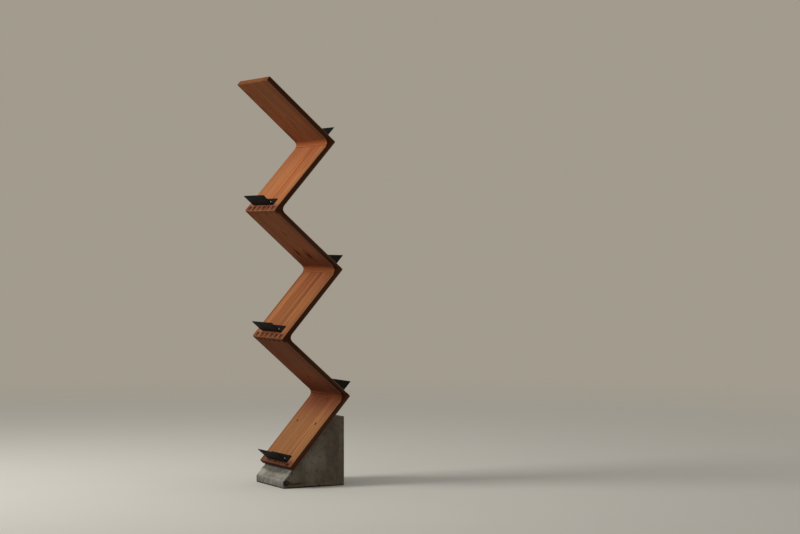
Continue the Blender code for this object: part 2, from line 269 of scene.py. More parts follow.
class ConcreteSettings(bpy.types.PropertyGroup):
    """The cast wedge."""

    pale: FloatVectorProperty(
        name="Pale concrete", description="Dry cement skin", default=display(166, 162, 146), **COLOUR)
    dark: FloatVectorProperty(
        name="Dark concrete", description="Stains and damp patches", default=display(126, 118, 105),
        **COLOUR)
    bloom: FloatVectorProperty(
        name="Bloom", description="Pale lime that the cement sweated out", default=display(184, 181, 172),
        **COLOUR)
    # Painted light: the two sides take a warmer tint, as they look in shade
    side_light_tint: FloatVectorProperty(
        name="Form stain", description="Tint that the casting form left on the sides",
        default=(1.0, 0.885, 0.69), **COLOUR)
    voxel: FloatProperty(
        name="Mesh size", description="Spacing of the wedge's mesh", default=0.0023, min=0.001, **LENGTH)
    pits: IntProperty(
        name="Air holes", description="Number of large air holes in the skin", default=90, min=0)
    voids: IntProperty(
        name="Voids", description="Number of holes in the rough patch at the front right corner",
        default=26, min=0)
    chips: IntProperty(
        name="Chips", description="Number of chips along the edges", default=120, min=0)
    seed: IntProperty(
        name="Seed", description="Start of the random draws for holes and chips", default=7, min=0)


class StageSettings(bpy.types.PropertyGroup):
    """Floor, light and camera."""

    floor: FloatVectorProperty(
        name="Floor", description="Colour of the floor", default=display(226, 221, 209), **COLOUR)
    floor_bounce: FloatVectorProperty(
        name="Floor bounce", description="Colour of the floor in the light that it throws back up",
        default=display(84, 80, 112), **COLOUR)
    backdrop: FloatVectorProperty(
        name="Backdrop", description="Colour behind the floor", default=display(162, 155, 142), **COLOUR)
    floor_radius: FloatProperty(
        name="Floor radius", description="Size of the floor, which fades out towards its rim", default=16.0,
        min=2.0, **LENGTH)
    key_power: FloatProperty(
        name="Key power", description="Power of the large lamp at the front left", default=77.0,
        subtype="POWER", unit="POWER", min=0.0)
    key_size: FloatProperty(
        name="Key size", description="Side of the large lamp", default=1.3, min=0.1, **LENGTH)
    shade: FloatProperty(
        name="Shade", description="Strength of the soft light from all round", default=0.16, min=0.0)
    front_glow: FloatProperty(
        name="Front glow", description="Strength of the soft light from the front left", default=0.26,
        min=0.0)
    back_glow: FloatProperty(
        name="Back glow", description="Strength of the soft light from the back left", default=0.30,
        min=0.0)
    right_glow: FloatProperty(
        name="Right glow", description="Strength of the soft light from the right", default=0.02, min=0.0)
    lens: FloatProperty(
        name="Lens", description="Focal length in millimetres on a 36 mm sensor", default=92.09, min=1.0)


# Shader graphs

class Wire:
    """An output socket. Arithmetic on it adds Math nodes to its graph."""

    def __init__(self, graph, socket):
        self.graph = graph
        self.socket = socket

    def beside(self, name):
        """Another output of the same node."""
        return Wire(self.graph, self.socket.node.outputs[name])

    def math(self, operation, first, second=0.0):
        """One Math node on two wires or numbers."""
        return self.graph.node("ShaderNodeMath", {"operation": operation}, {0: first, 1: second})

    def __add__(self, other):
        return self.math("ADD", self, other)

    def __radd__(self, other):
        return self.math("ADD", other, self)

    def __sub__(self, other):
        return self.math("SUBTRACT", self, other)

    def __rsub__(self, other):
        return self.math("SUBTRACT", other, self)

    def __mul__(self, other):
        return self.math("MULTIPLY", self, other)

    def __rmul__(self, other):
        return self.math("MULTIPLY", other, self)

    def __truediv__(self, other):
        return self.math("DIVIDE", self, other)

    def __pow__(self, other):
        return self.math("POWER", self, other)

    def __abs__(self):
        return self.math("ABSOLUTE", self)

    def __floor__(self):
        return self.math("FLOOR", self)


class Graph:
    """A node tree, filled from its coordinates to its output."""

    def __init__(self, tree):
        self.tree = tree
        tree.nodes.clear()

    def node(self, kind, settings=None, inputs=None, output=0):
        """Adds one node: its settings first, then its sockets' values or links. Returns an output's wire."""
        made = self.tree.nodes.new(kind)
        for name, value in (settings or {}).items():
            setattr(made, name, value)
        for name, value in (inputs or {}).items():
            if isinstance(value, Wire):
                self.tree.links.new(value.socket, made.inputs[name])
            else:
                made.inputs[name].default_value = value
        return Wire(self, made.outputs[output]) if len(made.outputs) else None

    def place(self):
        """The place on a piece, in the piece's own frame."""
        return self.node("ShaderNodeTexCoord", None, None, "Object")

    def parts(self, vector):
        """The three numbers of a vector or colour."""
        made = self.node("ShaderNodeSeparateXYZ", None, {"Vector": vector})
        return [made.beside(axis) for axis in "XYZ"]

    def step(self, value, low, high):
        """A soft step from 0 at low to 1 at high."""
        inputs = {"Value": value, "From Min": low, "From Max": high}
        return self.node("ShaderNodeMapRange", {"interpolation_type": "SMOOTHSTEP"}, inputs)

    def fade(self, value, low, high):
        """A soft step from 1 at low to 0 at high."""
        return 1.0 - self.step(value, low, high)

    def cloud(self, place, waves, detail, shift):
        """Soft noise from 0 to 1, with so many waves in a metre, the same or not along the three axes."""
        stretch = waves if isinstance(waves, tuple) else (waves, waves, waves)
        offset = (shift, shift * 0.7, shift * 1.3)
        spread = self.node(
            "ShaderNodeVectorMath", {"operation": "MULTIPLY_ADD"}, {0: place, 1: stretch, 2: offset})
        return self.node("ShaderNodeTexNoise", None, {"Vector": spread, "Scale": 1.0, "Detail": detail})

    def holes(self, place, scale, rarity):
        """Round holes of mixed sizes, 1 inside and 0 outside; only cells above the rarity have one."""
        away = self.node("ShaderNodeTexVoronoi", None, {"Vector": place, "Scale": scale}, "Distance")
        draw = self.parts(away.beside("Color"))[0]
        return self.fade(away - (draw - rarity) * 1.2, -0.04, 0.04)

    def mix(self, factor, first, second):
        """A colour between two colours."""
        inputs = {0: factor, 6: first, 7: second}
        return self.node("ShaderNodeMix", {"data_type": "RGBA"}, inputs, 2)

    def scale(self, colour, factor):
        """A colour made lighter or darker."""
        return self.node("ShaderNodeVectorMath", {"operation": "SCALE"}, {0: colour, "Scale": factor})

    def tint(self, colour, filtering):
        """A colour seen through another one."""
        inputs = {0: 1.0, 6: colour, 7: filtering}
        return self.node("ShaderNodeMix", {"data_type": "RGBA", "blend_type": "MULTIPLY"}, inputs, 2)

    def bump(self, height, strength, distance):
        """A normal that follows a height."""
        inputs = {"Height": height, "Strength": strength, "Distance": distance}
        return self.node("ShaderNodeBump", None, inputs, "Normal")

    def surface(self, **sockets):
        """Ends the graph with a Principled shader."""
        inputs = {}
        for name, value in sockets.items():
            inputs[name.replace("_", " ").title().replace("Ior", "IOR")] = value
        shader = self.node("ShaderNodeBsdfPrincipled", None, inputs)
        self.node("ShaderNodeOutputMaterial", None, {"Surface": shader})


def new_material(name):
    """A named material and its empty graph."""
    material = bpy.data.materials.new(name)
    material.use_nodes = True
    return material, Graph(material.node_tree)


def opaque(colour):
    """A colour setting with full alpha, as a socket takes it."""
    return (*colour, 1.0)


def apart(first, second):
    """The distance that two offsets at right angles make."""
    return (first * first + second * second) ** 0.5


def seen_directly(graph):
    """1 for what the camera sees, also in a mirror or through glass, and 0 for light on the object."""
    camera = graph.node("ShaderNodeLightPath", None, None, "Is Camera Ray")
    return camera + camera.beside("Is Glossy Ray") + camera.beside("Is Transmission Ray")


# Finishes

class Grain:
    """How a piece of wood grew: rings round a pith along Y, in staves side by side along X."""

    def __init__(self, graph, look, seed, knots):
        self.graph = graph
        self.seed = seed
        self.place = graph.place()
        self.x, self.y, self.z = graph.parts(self.place)
        self.facing_x, facing_y, _ = graph.parts(self.place.beside("Normal"))
        self.upper_end = graph.step(facing_y, 0.30, 0.60)
        self.lower_end = graph.fade(facing_y, -0.85, -0.55)

        stave = self.x / look.stave_width + seed * STAVE_SHIFT
        number = floor(stave)
        off_middle = (stave - number - 0.5) * look.stave_width
        inputs = {"W": number + seed * STAVE_DRAWS}
        draw = graph.node("ShaderNodeTexWhiteNoise", {"noise_dimensions": "1D"}, inputs, "Color")
        self.chance_a, self.chance_b, self.chance_c = graph.parts(draw)

        wander = self.noise(7.0, 1.7, 1.0) - 0.5
        ripple = self.noise(60.0, 6.0, 2.0) - 0.5
        pith_across = off_middle - (self.chance_a - 0.5) * PITH_SPREAD
        pith_deep = self.z + PITH_DEPTH + self.chance_b * PITH_DEPTH_SPREAD
        slope = self.y * (self.chance_c - 0.5) * RING_SLOPE
        radius = apart(pith_across, pith_deep) + wander * RING_WANDER + ripple * RING_RIPPLE + slope

        self.knot_heart = 0.0
        self.knot_halo = 0.0
        for across, up, half_width, half_length in knots:
            away = apart((self.x - across) / half_width, (self.y - up) / half_length) + ripple * 0.9
            self.knot_heart = self.knot_heart + graph.fade(away, 0.45, 1.05)
            self.knot_halo = self.knot_halo + graph.fade(away, 0.8, 2.6)
        radius = radius + self.knot_halo * KNOT_PUSH

        phase = radius / (look.ring_width * (0.75 + self.chance_a * 0.6))
        ring = phase - floor(phase)
        self.late = graph.step(ring, 0.35, 0.90) * graph.fade(ring, 0.92, 1.0)
        self.streak = self.noise(30.0, 1.1, 4.0, 3.0)
        self.fibre = self.noise(900.0, 22.0, 3.0, 5.0)
        self.veins = graph.step(self.noise(100.0, 1.4, 2.0, 7.0), 0.46, 0.60)
        self.ducts = graph.step(self.noise(520.0, 26.0, 1.0, 9.0), 0.66, 0.74)

    def noise(self, across, along, detail, shift=0.0):
        """Soft noise with so many waves in a metre across the grain and along it."""
        return self.graph.cloud(self.place, (across, along, across), detail, self.seed + shift)

    def colour(self, look, tone):
        """The colour of the planed and oiled wood."""
        graph = self.graph
        redness = self.chance_b * 0.35 + tone.warmth * 0.45
        bands = (self.streak - 0.5) * BAND_DEPTH + (self.chance_c - 0.5) * STAVE_DEPTH
        colour = graph.mix(self.late * LATE_DEPTH, opaque(look.early), opaque(look.late))
        colour = graph.mix(redness, colour, graph.scale(look.red, 1.12 - self.late * 0.36))
        colour = graph.scale(colour, (1.04 + bands * tone.figure) * tone.lightness)
        veins = self.veins * (tone.figure * VEIN_DEPTH)
        colour = graph.mix(veins, colour, graph.tint(colour, opaque(look.vein)))
        return graph.scale(colour, 1.0 - self.ducts * DUCT_DEPTH - (0.5 - self.fibre) * FIBRE_DEPTH)


def board_marks(graph, look, grain, tone, board, colour):
    """A board's colour with dark end grain, a darker lower end from oil in its grain and painted shade of the
    ledge, painted shade along the inner corners, darker sides and worn edges.
    """
    side = graph.step(abs(grain.facing_x), 0.55, 0.9)
    upper_face = graph.step(grain.z, board.thickness * -0.6, board.thickness * -0.4)
    end_shade = JOINTED_END_SHADE if board.jointed_above else FREE_END_SHADE
    colour = graph.scale(colour, 1.0 - grain.upper_end * (end_shade + grain.chance_a * 0.10))

    # Painted shade: the lower end is darkened for the shadow of the ledge above, together with the oil in its
    # end grain
    soak_and_shade = graph.fade(grain.y + (grain.streak - 0.5) * SOAK_AND_SHADE_WAVE, *SOAK_AND_SHADE_REACH) * (1.0 - side)
    if board.jointed_below:
        soak_and_shade = soak_and_shade * (1.0 - grain.lower_end)
    colour = graph.mix(soak_and_shade * tone.soaked_and_shaded, colour, graph.tint(colour, opaque(look.soaked_and_shaded)))

    # Painted shade along the inner corners: the upper face darkens below the cove strip above, and the
    # underside above the strip below
    above = graph.step(grain.y, board.covered_above - CORNER_SHADE_REACH, board.covered_above)
    below = graph.fade(grain.y, *(board.covered_below + reach for reach in UNDERSIDE_SHADE_REACH))
    oiled = upper_face * above * tone.corner_shade
    underside_corner_shade = (1.0 - upper_face) * below * tone.corner_shade
    colour = graph.mix(oiled, colour, graph.tint(colour, opaque(look.oil)))
    colour = graph.mix(underside_corner_shade, colour, graph.tint(colour, opaque(look.underside_corner_shade)))

    rim = graph.step(abs(grain.x), board.width / 2 - RIM_REACH, board.width / 2)
    colour = graph.scale(colour, 1.0 - rim * RIM_SHADE)
    colour = graph.scale(colour, 1.0 - side * tone.side_shade)
    worn = worn_edges(graph, grain, board, upper_face)
    return graph.mix(worn * WEAR_DEPTH, colour, opaque(look.worn))


def worn_edges(graph, grain, board, upper_face):
    """Above 0 along a board's edges in broken stretches, but not beside its cove strips."""
    from_side = abs(grain.x) - board.width / 2
    from_face = abs(grain.z + board.thickness / 2) - board.thickness / 2
    worn = graph.fade(apart(from_side, from_face), *WEAR_REACH)
    if board.jointed_below:
        worn = worn + graph.fade(apart(grain.y, grain.z), *WEAR_REACH)
    if board.jointed_above:
        worn = worn + graph.fade(apart(grain.y - board.length, grain.z + board.thickness), *WEAR_REACH)
    worn = worn * graph.step(grain.streak + grain.fibre * 0.4, 0.45, 0.75)
    above = upper_face * graph.step(grain.y, board.covered_above - SHELTER, board.covered_above)
    below = graph.fade(grain.y, board.covered_below, board.covered_below + SHELTER)
    return worn * (1.0 - above - (1.0 - upper_face) * below)


def oiled_wood(name, seed, tone, board=None, knots=()):
    """Oiled softwood that is solid through, on a board or, without one, on a cove strip."""
    look = bpy.context.scene.shelf_wood
    material, graph = new_material(name)
    grain = Grain(graph, look, seed, knots)
    ends = grain.upper_end + grain.lower_end
    colour = grain.colour(look, tone)
    if board is None:
        colour = graph.scale(colour, 1.0 - ends * COVE_END_SHADE)
    else:
        colour = board_marks(graph, look, grain, tone, board, colour)
    if knots:
        colour = graph.mix(grain.knot_halo * HALO_DEPTH, colour, graph.scale(look.late, 0.80))
        colour = graph.mix(grain.knot_heart * HEART_DEPTH, colour, opaque(look.knot))
    rough = 0.50 + (grain.streak - 0.5) * 0.22 - grain.late * 0.06 + ends * 0.14
    relief = grain.fibre * 0.5 + grain.late * 0.35 - grain.ducts * 0.6
    graph.surface(
        base_color=colour, roughness=rough, specular_ior_level=0.0,
        normal=graph.bump(relief, strength=0.18, distance=0.0006))
    return material


def powder_coat():
    """Fine matt black coat, slightly uneven, with a little dust."""
    look = bpy.context.scene.shelf_steel
    material, graph = new_material("black powder coat")
    place = graph.place()
    dust = graph.cloud(place, 16.0, 3.0, 2.0)
    peel = graph.cloud(place, 900.0, 1.0, 4.0)
    speck = graph.step(graph.cloud(place, 420.0, 2.0, 6.0), 0.70, 0.78)
    colour = graph.scale(look.coat, 0.75 + dust * 0.5 + speck * 0.9)
    graph.surface(
        base_color=colour, roughness=0.50 + dust * 0.16, specular_ior_level=0.04,
        normal=graph.bump(peel, strength=0.16, distance=0.0003))
    return material


def turned_steel(name, colour, roughness):
    """Turned steel with fine rings round the piece's own Z axis."""
    material, graph = new_material(name)
    place = graph.place()
    x, y, z = graph.parts(place)
    ringed = graph.node("ShaderNodeCombineXYZ", None, {"X": apart(x, y), "Y": z})
    lathe = graph.cloud(ringed, (9000.0, 9000.0, 1.0), 1.0, 1.0)
    grime = graph.cloud(place, 400.0, 2.0, 3.0)
    shade = graph.scale(colour, 0.80 + lathe * 0.24 + grime * 0.12)
    graph.surface(
        base_color=shade, metallic=1.0, roughness=roughness + (lathe - 0.5) * 0.14,
        normal=graph.bump(lathe, strength=0.10, distance=0.00005))
    return material


def cast_concrete(hollow_name):
    """Cast cement skin: mottled, damp and with painted contact shadow low down, streaked and painted lighter
    and warmer on its sides, darker in its holes.
    """
    look = bpy.context.scene.shelf_concrete
    material, graph = new_material("cast concrete")
    place = graph.place()
    facing_x = graph.parts(place.beside("Normal"))[0]
    side = graph.step(abs(facing_x), 0.6, 0.9)
    hollow = graph.node("ShaderNodeAttribute", {"attribute_name": hollow_name}, None, "Fac")
    patch = graph.cloud(place, 9.0, 4.0, 1.0)
    mottle = graph.cloud(place, 46.0, 4.0, 5.0)
    streak = graph.cloud(place, (60.0, 60.0, 3.5), 3.0, 8.0)
    sand = graph.cloud(place, 1300.0, 2.0, 11.0)
    grit = graph.cloud(place, 260.0, 2.0, 17.0)
    bloom = graph.step(graph.cloud(place, 17.0, 5.0, 14.0), 0.52, 0.72)
    holes = graph.holes(place, scale=95.0, rarity=0.74) + graph.holes(place, scale=260.0, rarity=0.80)
    tone = graph.step(patch * 0.55 + mottle * 0.35 + streak * 0.25, 0.35, 0.80)

    height = graph.parts(place)[2] + (mottle - 0.5) * DAMP_WAVE
    damp = graph.fade(height, *DAMP_HEIGHT) * (DAMP_SHADE - side * (DAMP_SHADE - DAMP_SIDE_SHADE))
    rough = 0.68 + sand * 0.24 + grit * 0.40
    colour = graph.mix(tone, opaque(look.dark), opaque(look.pale))
    colour = graph.mix(bloom * BLOOM_DEPTH, colour, opaque(look.bloom))
    # The speckle and the damp darken the colour, and the two sides are lightened as painted light
    colour = graph.scale(colour, rough * (1.0 - damp) * (1.0 + side * SIDE_LIFT))
    colour = stained_and_shaded(graph, place, mottle, colour)
    # Painted light: the warm tint on the two sides
    colour = graph.mix(side, colour, graph.tint(colour, opaque(look.side_light_tint)))
    colour = graph.scale(colour, (1.0 - hollow * HOLLOW_SHADE) * (1.0 - holes * HOLE_SHADE))
    relief = sand * 0.30 + mottle * 0.3 - holes * 1.2
    graph.surface(
        base_color=colour, roughness=0.84 + mottle * 0.14, specular_ior_level=0.15,
        normal=graph.bump(relief, strength=0.45, distance=0.0010))
    return material


def stained_and_shaded(graph, place, mottle, colour):
    """The wedge's colour with its stains and painted shade, whose outlines follow the mottling."""
    parts = graph.parts(place)
    for middle, halves, lightness in STAINS_AND_SHADE:
        away = (mottle - 0.5) * 1.2
        for part, centre, half in zip(parts, middle, halves):
            off = (part - centre) / half
            away = away + off * off
        stain = graph.fade(away, 0.2, 1.3)
        colour = graph.scale(colour, 1.0 + stain * (lightness - 1.0))
    return colour


# Shapes from the solids

def numbered(prefix):
    """The nodes whose names start with a prefix, by the number that follows it."""
    found = {}
    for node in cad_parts:
        if node.startswith(prefix):
            found[int(node[len(prefix):].split("_")[0])] = node
    return dict(sorted(found.items()))


class Board:
    """One board's own frame and sizes, read from its solid, and where its cove strips cover it.

    Local X runs across, Y up the board and Z off the upper face. The origin is the middle of that
    face's lower edge. The strip above covers the upper face and the strip below covers the underside.
    """

    def __init__(self, number, node):
        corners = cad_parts[node].data.vertices
        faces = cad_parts[node].data.polygons
        normal = max(faces, key=lambda face: face.area).normal.copy()
        if normal.z < 0.0:
            normal.negate()
        along = Vector((0.0, normal.z, -normal.y))
        if along.z < 0.0:
            along.negate()
        across = along.cross(normal)
        heights = [corner.co.dot(along) for corner in corners]
        depths = [corner.co.dot(normal) for corner in corners]
        widths = [corner.co.dot(across) for corner in corners]
        self.node = node
        self.length = max(heights) - min(heights)
        self.thickness = max(depths) - min(depths)
        self.width = max(widths) - min(widths)
        self.own = Matrix((across, along, normal)).transposed().to_4x4()
        self.own.translation = along * min(heights) + normal * max(depths)
        self.jointed_above = number in COVES
        self.jointed_below = number - 1 in COVES
        self.covered_above = self.length + OUT_OF_REACH
        self.covered_below = -OUT_OF_REACH
        if self.jointed_above:
            self.covered_above = min(self.heights(COVES[number]))
        if self.jointed_below:
            self.covered_below = max(self.heights(COVES[number - 1]))

    def heights(self, node):
        """How far up this board the corners of another solid lie."""
        inside = self.own.inverted()
        return [(inside @ corner.co).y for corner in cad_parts[node].data.vertices]


COVES = numbered("corner_cove_")
BOARDS = {number: Board(number, node) for number, node in numbered("board_").items()}


def cad_shape(node, own):
    """A solid's shape in a frame of its own, with each flat side as few faces."""
    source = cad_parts[node].data
    inside = own.inverted()
    shape = bmesh.new()
    corners = [shape.verts.new(inside @ corner.co) for corner in source.vertices]
    for face in source.polygons:
        shape.faces.new([corners[index] for index in face.vertices])
    bmesh.ops.remove_doubles(shape, verts=shape.verts, dist=WELD)
    bmesh.ops.dissolve_limit(shape, angle_limit=FLAT_ANGLE, verts=shape.verts, edges=shape.edges)
    shape.normal_update()
    return shape


def round_edges(shape, edges, width):
    """Rounds the given edges over."""
    bmesh.ops.bevel(
        shape, geom=edges, offset=width, offset_type="OFFSET", segments=EDGE_STEPS, profile=0.5,
        affect="EDGES", clamp_overlap=True)


def sharp_edges(shape):
    """The sharp edges that turn outwards."""
    whole = [edge for edge in shape.edges if edge.is_manifold]
    return [edge for edge in whole if edge.calc_face_angle_signed() > SHARP_ANGLE]


def new_mesh(name, shape):
    """Turns a shape into a mesh."""
    mesh = bpy.data.meshes.new(name)
    shape.to_mesh(mesh)
    shape.free()
    return mesh


def add_object(name, data):
    """Adds an object to the scene."""
    made = bpy.data.objects.new(name, data)
    bpy.context.scene.collection.objects.link(made)
    return made


def add_piece(name, shape, own, material, node):
    """Adds a finished piece that stands for a solid and takes its place in the frame."""
    mesh = new_mesh(name, shape)
    mesh.materials.append(material)
    mesh.shade_smooth()
    mesh.set_sharp_from_angle(angle=SMOOTH_ANGLE)
    made = add_object(name, mesh)
    made.matrix_world = own
    flats = made.modifiers.new("flat sides stay flat", "WEIGHTED_NORMAL")
    flats.keep_sharp = True
    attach(made, BODY)
    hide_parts(node)
    return made


def exposed_arrises(shape, board):
    """A board's long edges and end edges that a hand can reach, outside its joints and cove strips."""
    found = []
    for edge in shape.edges:
        if any(abs(abs(corner.co.x) - board.width / 2) > TINY for corner in edge.verts):
            continue
        others = [face for face in edge.link_faces if abs(face.normal.x) < ALONG]
        if len(others) != 1 or len(edge.link_faces) != 2:
            continue
        middle = (edge.verts[0].co + edge.verts[1].co) / 2
        on_top = middle.z > -TINY
        on_underside = middle.z < TINY - board.thickness
        in_length = TINY < middle.y < board.length - TINY
        if on_top and middle.y > board.covered_above:
            continue
        if on_underside and middle.y < board.covered_below:
            continue
        if in_length and abs(others[0].normal.y) > SQUARE:
            continue
        found.append(edge)
    return found


class CastSkin:
    """The wedge's even mesh, sunk a little everywhere and more in holes and chips.

    The underside stays flat.
    """

    def __init__(self, mesh, seed):
        self.draws = Random(seed)
        self.points = np.array([corner.co for corner in mesh.vertices])
        self.normals = np.array([corner.normal for corner in mesh.vertices])
        self.moved = self.points.copy()
        self.hollow = np.zeros(len(self.points))
        self.low = self.points.min(0)
        self.high = self.points.max(0)
        self.free = self.points[:, 2] > self.low[2] + TINY
        mains = np.array([(1, 0, 0), (0, 1, 0), (0, 0, 1), BOARDS[1].own.col[2].xyz])
        self.turn = 1.0 - np.abs(self.normals @ mains.T).max(1)
        self.tree = KDTree(len(self.points))
        for index, point in enumerate(self.points):
            self.tree.insert(point, index)
        self.tree.balance()

    def sink(self, depths):
        """Moves each corner inwards."""
        self.moved -= self.normals * (depths * self.free)[:, None]

    def roughen(self):
        """Sinks the whole skin unevenly, and the edges more."""
        depths = np.zeros(len(self.points))
        for index, point in enumerate(self.points):
            place = Vector(point)
            swell = noise.noise(place * SWELL_WAVES) * 0.5 + 0.5
            grain = noise.noise(place * GRAIN_WAVES) * 0.5 + 0.5
            crumb = max(0.0, noise.noise(place * CRUMB_WAVES) + 0.1)
            depths[index] = SWELL_DEPTH * swell + GRAIN_DEPTH * grain + CRUMB_DEPTH * self.turn[index] * crumb
        self.sink(depths)

    def dent(self, pits, voids):
        """Presses air holes into the flat faces, and voids into the rough patch at the front right corner."""
        draws = self.draws
        flats = np.flatnonzero(self.free & (self.turn < FLAT_TURN))
        dents = [(draws.choice(flats), draws.uniform(*PIT_RADIUS)) for _ in range(pits)]
        for _ in range(voids):
            back = abs(draws.gauss(0.0, VOID_SPREAD[0]))
            up = VOID_HEIGHT + draws.gauss(0.0, VOID_SPREAD[1])
            centre = self.tree.find((self.high[0], self.low[1] + back, up))[1]
            dents.append((centre, draws.uniform(*VOID_RADIUS)))
        depths = np.zeros(len(self.points))
        for centre, radius in dents:
            reach = radius * DENT_REACH
            for _, index, away in self.tree.find_range(self.points[centre], reach):
                fall = max(0.0, 1.0 - (away / reach) ** 2)
                depths[index] += radius * DENT_DEPTH * fall
                self.hollow[index] = max(self.hollow[index], fall)
        self.sink(depths)

    def chip(self, chips):
        """Cuts small flat chips off the edges."""
        draws = self.draws
        in_front = self.points[:, 1] < self.high[1] - WHOLE_BACK
        rims = np.flatnonzero(self.free & (self.turn > RIM_TURN) & in_front)
        for _ in range(chips):
            centre = draws.choice(rims)
            radius = draws.uniform(*CHIP_RADIUS)
            tilt = Vector(draws.uniform(-CHIP_TILT, CHIP_TILT) for _ in range(3))
            slant = np.array((Vector(self.normals[centre]) + tilt).normalized())
            level = self.points[centre] @ slant - radius * draws.uniform(*CHIP_DEPTH)
            for _, index, _ in self.tree.find_range(self.points[centre], radius * CHIP_REACH):
                above = self.moved[index] @ slant - level
                if above > 0.0 and self.free[index]:
                    self.moved[index] -= slant * above

    def write(self, mesh, hollow_name):
        """Gives the mesh its new corners, and the depth of its holes as an attribute."""
        mesh.vertices.foreach_set("co", self.moved.astype(np.float32).ravel())
        attribute = mesh.attributes.new(hollow_name, "FLOAT", "POINT")
        attribute.data.foreach_set("value", self.hollow.astype(np.float32))


# Operators

class SHELF_OT_boards(bpy.types.Operator):
    """Adds the six finger-jointed boards with eased edges and solid wood grain"""

    bl_idname = "shelf.add_boards"
    bl_label = "Boards"

    def execute(self, context):
        look = context.scene.shelf_wood
        for number, board in BOARDS.items():
            shape = cad_shape(board.node, board.own)
            for height in (board.covered_above, board.covered_below):
                geometry = [*shape.verts, *shape.edges, *shape.faces]
                bmesh.ops.bisect_plane(shape, geom=geometry, plane_co=(0, height, 0), plane_no=(0, 1, 0))
            round_edges(shape, exposed_arrises(shape, board), look.arris)
            finish = oiled_wood(f"oiled wood {number}", number, TONES[number], board, KNOTS.get(number, ()))
            panel = add_piece(f"panel_{number}", shape, board.own, finish, board.node)
            for face in panel.data.polygons:
                if max(abs(part) for part in face.normal) > SQUARE:
                    face.use_smooth = False
        return {"FINISHED"}


class SHELF_OT_coves(bpy.types.Operator):
    """Adds the concave strips in the inner corners, with their grain along the corner"""

    bl_idname = "shelf.add_coves"
    bl_label = "Cove strips"

    def execute(self, context):
        look = context.scene.shelf_wood
        for number, node in COVES.items():
            board = BOARDS[number]
            across, along, normal = (board.own.col[axis].xyz for axis in range(3))
            own = Matrix((-along, across, normal)).transposed().to_4x4()
            low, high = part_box(node)
            own.translation = (low + high) / 2
            shape = cad_shape(node, own)
            edges = []
            for edge in sharp_edges(shape):
                ends = [face for face in edge.link_faces if abs(face.normal.y) > ALONG]
                others = [face for face in edge.link_faces if abs(face.normal.y) <= ALONG]
                if ends and others and others[0].normal.x > -ALONG and others[0].normal.z > -ALONG:
                    edges.append(edge)
            round_edges(shape, edges, look.cove_arris)
            tone = Tone(COVE_LIGHTNESS[number], COVE_WARMTH, COVE_FIGURE)
            finish = oiled_wood(f"oiled cove {number}", number + COVE_SEED, tone)
            add_piece(f"cove_strip_{number}", shape, own, finish, node)
        return {"FINISHED"}


class SHELF_OT_ledges(bpy.types.Operator):
    """Adds the bent steel ledges with their black coat"""

    bl_idname = "shelf.add_ledges"
    bl_label = "Ledges"

    def execute(self, context):
        look = context.scene.shelf_steel
        finish = powder_coat()
        for number, board in BOARDS.items():
            node = f"ledge_{number}"
            shape = cad_shape(node, board.own)
            round_edges(shape, sharp_edges(shape), look.edge)
            add_piece(f"ledge_angle_{number}", shape, board.own, finish, node)
        return {"FINISHED"}


class SHELF_OT_fasteners(bpy.types.Operator):
    """Adds the ledge screws and the bolts, and finishes the washers and anchors inside"""

    bl_idname = "shelf.add_fasteners"
    bl_label = "Screws and bolts"

    def execute(self, context):
        look = context.scene.shelf_steel
        bright = turned_steel("bright steel", look.bright, roughness=0.42)
        zinc = turned_steel("dull zinc", look.zinc, roughness=0.45)
        browned = turned_steel("browned steel", look.browned, roughness=0.42)
        for side in ("left", "right"):
            for number, board in BOARDS.items():
                node = f"ledge_screw_{number}_{side}"
                self.add(node, f"screw_{number}_{side}", board, bright, "bright_steel")
            self.add(f"base_bolt_{side}", f"bolt_{side}", BOARDS[1], browned, "black_steel")
            for node in (f"base_washer_{side}", f"base_anchor_{side}"):
                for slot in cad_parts[node].material_slots:
                    slot.material = zinc
        return {"FINISHED"}

    def add(self, node, name, board, finish, slot):
        """Adds one screw or bolt, with its own Z along its shank."""
        low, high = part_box(node)
        own = board.own.copy()
        own.translation = (low + high) / 2
        add_piece(name, cad_shape(node, own), own, finish, node)


class SHELF_OT_base(bpy.types.Operator):
    """Adds the cast wedge with its uneven skin, air holes and chipped edges"""

    bl_idname = "shelf.add_base"
    bl_label = "Cast wedge"

    def execute(self, context):
        look = context.scene.shelf_concrete
        hollow_name = "hollow"
        mesh = self.remeshed("concrete_base", look.voxel)
        skin = CastSkin(mesh, look.seed)
        skin.roughen()
        skin.dent(look.pits, look.voids)
        skin.chip(look.chips)
        skin.write(mesh, hollow_name)
        shape = bmesh.new()
        shape.from_mesh(mesh)
        bpy.data.meshes.remove(mesh)
        finish = cast_concrete(hollow_name)
        add_piece("cast_wedge", shape, Matrix.Identity(4), finish, "concrete_base")
        return {"FINISHED"}

    def remeshed(self, node, voxel):
        """A copy of a solid with an even mesh."""
        rough = new_mesh("wedge blank", cad_shape(node, Matrix.Identity(4)))
        blank = add_object("wedge_blank", rough)
        remesh = blank.modifiers.new("even mesh", "REMESH")
        remesh.mode = "VOXEL"
        remesh.voxel_size = voxel
        depsgraph = bpy.context.evaluated_depsgraph_get()
        mesh = bpy.data.meshes.new_from_object(blank.evaluated_get(depsgraph))
        bpy.data.objects.remove(blank)
        bpy.data.meshes.remove(rough)
        return mesh


